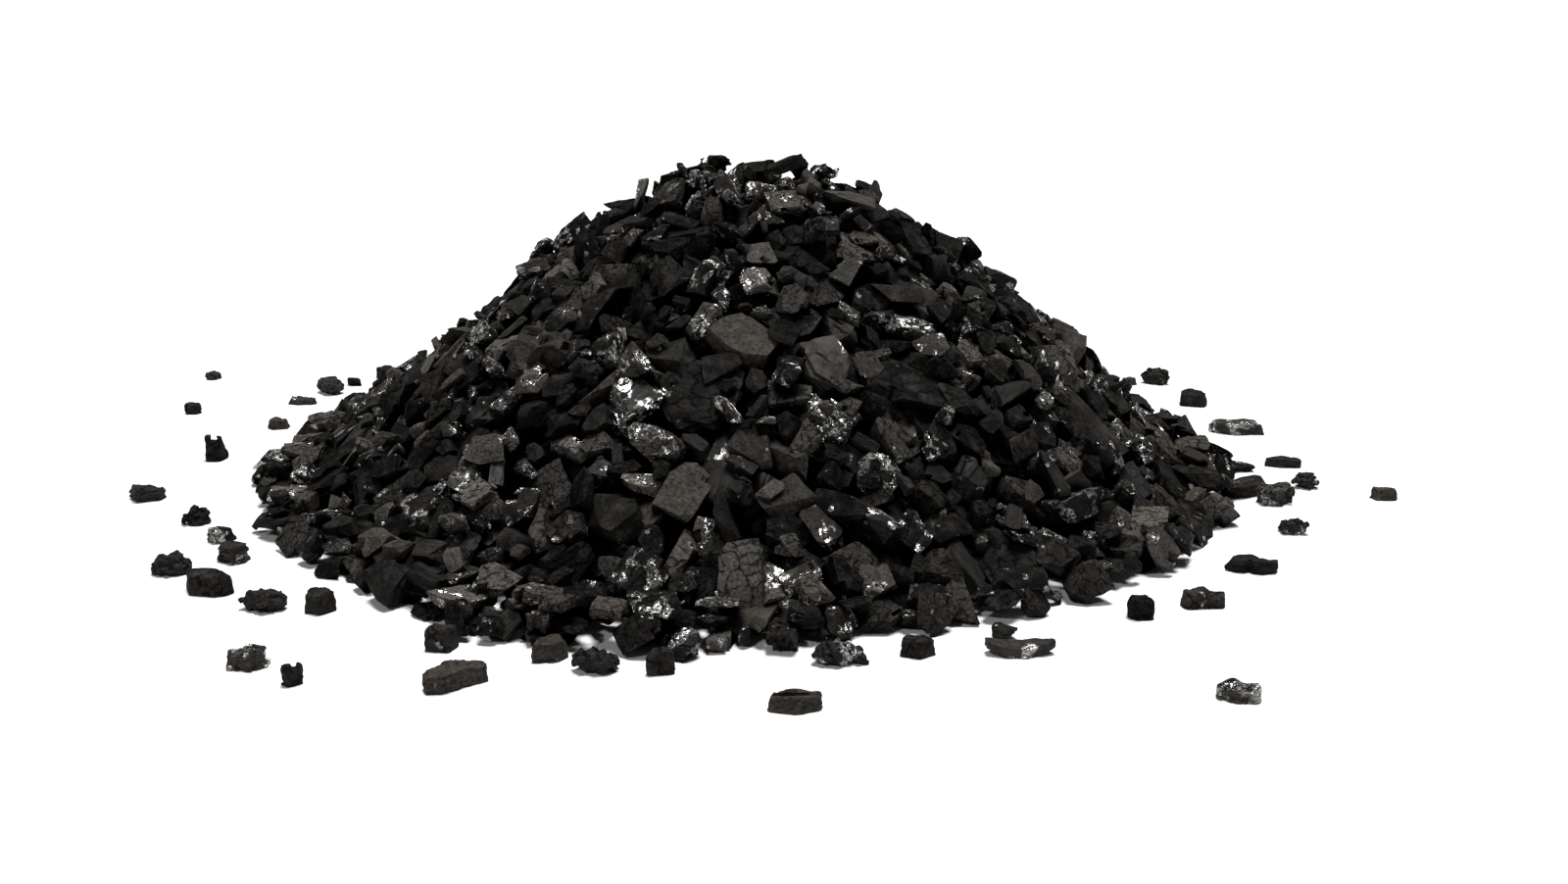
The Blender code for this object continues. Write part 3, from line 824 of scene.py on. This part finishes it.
# Loose granules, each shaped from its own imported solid

looseLooks = {
    "chip": {
        "material": "tabular", "broad": 0.6, "steps": 0.26, "fine": 0.16, "pores": 0.0,
        "stretch": (1, 1, 1),
    },
    "block": {
        "material": "block", "broad": 0.5, "steps": 0.24, "fine": 0.15, "pores": 0.0, "stretch": (1, 1, 1),
    },
    "splinter": {
        "material": "splinter", "broad": 0.5, "steps": 0.3, "fine": 0.18, "pores": 0.0,
        "stretch": (3, 0.7, 0.5),
    },
    "crumb": {
        "material": "crumb", "broad": 0.9, "steps": 0.5, "fine": 0.3, "pores": 0.5,
        "stretch": (0.9, 0.9, 0.9),
    },
    "shell": {
        "material": "shell", "broad": 0.22, "steps": 0.14, "fine": 0.14, "pores": 0.0,
        "stretch": (3, 0.8, 0.8),
    },
}
looseOwn = {
    "loose_chip_07": {"material": "laminated", "steps": 0.6, "stretch": (0.5, 0.5, 3), "tint": 0.86},
    "loose_chip_08": {"material": "splinter", "steps": 0.3, "stretch": (4, 0.5, 0.5), "tint": 0.9},
    "loose_chip_09": {"material": "laminated", "steps": 0.3, "tint": 0.8},
    "loose_chip_10": {"broad": 0.3, "steps": 0.12, "tint": 0.7},
    "loose_chip_06": {"broad": 0.2, "steps": 0.08, "tint": 0.62},
    "loose_chip_04": {"material": "splinter", "steps": 0.35, "stretch": (4, 0.6, 0.5), "tint": 0.75},
    "loose_block_02": {"material": "laminated", "steps": 0.5, "stretch": (3, 3, 0.4), "tint": 0.7},
    "loose_block_03": {"broad": 0.3, "tint": 0.66},
    "loose_block_05": {"broad": 0.2, "steps": 0.08, "tint": 0.7},
    "loose_block_07": {"broad": 0.2, "steps": 0.1, "tint": 0.6},
    "loose_block_08": {"broad": 0.2, "steps": 0.1, "tint": 0.62},
    "loose_splinter_01": {"material": "tabular", "broad": 0.6, "tint": 0.82},
}  # what differs from the kind's own look
looseCuts = {
    "loose_chip_07": (((1.0, 0.5, 0.6), (0.9, 2.0, 0.7), 30), ((0.45, 0.0, 0.8), (0.5, 0.6, 2.4), 0)),
    "loose_chip_08": (((0.5, 0.45, 1.0), (3.6, 0.6, 0.6), 4),),
    "loose_chip_09": (((0.05, 0.1, 0.4), (1.2, 1.0, 2.4), 20),),
    "loose_chip_10": (((0.85, 0.5, 1.0), (2.0, 3.4, 1.0), 10), ((1.0, 0.0, 0.3), (1.0, 1.0, 2.0), 40)),
    "loose_block_01": (((0.5, 0.5, 1.0), (0.7, 3.0, 1.3), 15),),
    "loose_block_04": (((0.62, 0.5, 1.0), (0.5, 2.4, 0.9), 20),),
    "loose_block_06": (((0.0, 0.4, 0.6), (1.3, 1.0, 3.0), 45),),
    "loose_splinter_01": (((0.72, 0.3, 0.7), (0.8, 0.7, 3.0), 35), ((0.3, 0.9, 0.9), (1.2, 0.8, 1.6), 20)),
    "loose_splinter_02": (((0.4, 0.1, 0.9), (1.0, 0.7, 2.0), 30),),
    "loose_chip_12": (((0.8, 0.1, 0.6), (1.2, 0.9, 2.4), 40),),
}  # place in the granule's box, size in millimetres and turn in degrees of each notch or groove
looseDetail = {
    "seed": 5, "voxel": 0.1, "triangles": 1400, "chips": 4, "reach": (0.62, 0.84), "tint": (0.45, 1.0),
}


def buildLoose(name, draw):
    kind = name.split("_")[1]
    look = {**looseLooks[kind], **looseOwn.get(name, {})}
    granule = copyOfNode(name, "fine_" + name)
    granule.data.transform(Matrix.Scale(1000, 4))  # worked in millimetres, as the masters are
    low, high = (corner * 1000 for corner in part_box(name))
    for _ in range(looseDetail["chips"]):
        facing = Vector(draw.normal(0, 1, 3)).normalized()
        facing.z = abs(facing.z)  # the face it rests on stays whole
        breakAt(granule, high - low, facing, draw.uniform(*looseDetail["reach"]), (low + high) / 2)
    for share, size, turn in looseCuts.get(name, ()):
        place = low + Vector([part * side for part, side in zip(share, high - low)])
        notch = addBlock("notch", size)
        notch.data.transform(Matrix.Translation(place) @ Matrix.Rotation(math.radians(turn), 4, "Z"))
        cutAway(granule, notch)
    closeSurface(granule, kind not in ("crumb", "shell"), looseDetail["voxel"])
    shift = drawShift(draw)
    roughen(granule, look, shift)
    thinTo(granule, looseDetail["triangles"])
    keepAboveFloor(granule.data)
    granule.data.transform(Matrix.Scale(mm, 4))
    markGrain(granule.data, 1000, shift, look.get("tint", draw.uniform(*looseDetail["tint"])))
    bpy.ops.object.shade_smooth_by_angle(angle=math.radians(masterDetail["sharpAngle"]))
    giveMaterial(granule.data, charcoals[look["material"]])
    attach(granule, "root")
    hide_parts(name)


looseDraw = np.random.default_rng(looseDetail["seed"])
for name in sorted(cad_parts):
    if name != "heap":
        buildLoose(name, looseDraw)
for kind in masters:
    for found in masters[kind]:
        bpy.data.objects.remove(found["outer"])
        bpy.data.objects.remove(found["fill"])
bpy.data.objects.remove(grainGuide)
print("loose granules shaped")


# Floor, light and camera

studio = {
    "floor": 4.0, "floorWhite": 0.84, "floorRough": 0.8, "floorSpecular": 0.1, "world": 0.06, "beyond": 1.0,
    "camera": (3.2, -181.4, 56.5), "pitch": 16.5, "focalPixels": 1790, "imageWidth": 1600, "sensor": 36.0,
    "nearest": 0.005, "farthest": 20,
}  # the floor and the two clip distances are in metres, the camera's place in millimetres
suns = {
    "overhead": {"energy": 4.8, "spread": 24, "turn": (-10, 0, -30)},
    "front": {"energy": 0.68, "spread": 5, "turn": (46, 0, -34)},
}


def buildStudio():
    deselectAll()
    bpy.ops.mesh.primitive_plane_add(size=studio["floor"])
    floor = bpy.context.object
    floor.name = "floor"
    white, shader = newMaterial("floorWhite")
    shader.inputs["Base Color"].default_value = (studio["floorWhite"],) * 3 + (1,)
    shader.inputs["Roughness"].default_value = studio["floorRough"]
    shader.inputs["Specular IOR Level"].default_value = studio["floorSpecular"]
    floor.data.materials.append(white)
    world = bpy.data.worlds.new("studioWorld")
    bpy.context.scene.world = world
    world.use_nodes = True
    background = world.node_tree.nodes["Background"]
    background.inputs["Color"].default_value = (1, 1, 1, 1)
    seen = addNode(world, "ShaderNodeLightPath").outputs["Is Camera Ray"]  # white beyond the floor's edge
    feed(world, background.inputs["Strength"], addBlend(world, seen, studio["world"], studio["beyond"]))
    for name, sun in suns.items():
        light = bpy.data.lights.new(name, "SUN")
        light.energy = sun["energy"]
        light.angle = math.radians(sun["spread"])
        lamp = bpy.data.objects.new(name, light)
        lamp.rotation_euler = [math.radians(turn) for turn in sun["turn"]]
        bpy.context.scene.collection.objects.link(lamp)
    lens = bpy.data.cameras.new("camera")
    lens.sensor_width = studio["sensor"]
    lens.lens = studio["focalPixels"] / studio["imageWidth"] * studio["sensor"]
    lens.clip_start = studio["nearest"]
    lens.clip_end = studio["farthest"]
    camera = bpy.data.objects.new("camera", lens)
    camera.location = [side * mm for side in studio["camera"]]
    camera.rotation_euler = (math.radians(90 - studio["pitch"]), 0, 0)
    bpy.context.scene.collection.objects.link(camera)
    bpy.context.scene.camera = camera
    bpy.context.scene.view_settings.view_transform = "Standard"


buildStudio()
print("floor, light and camera placed")
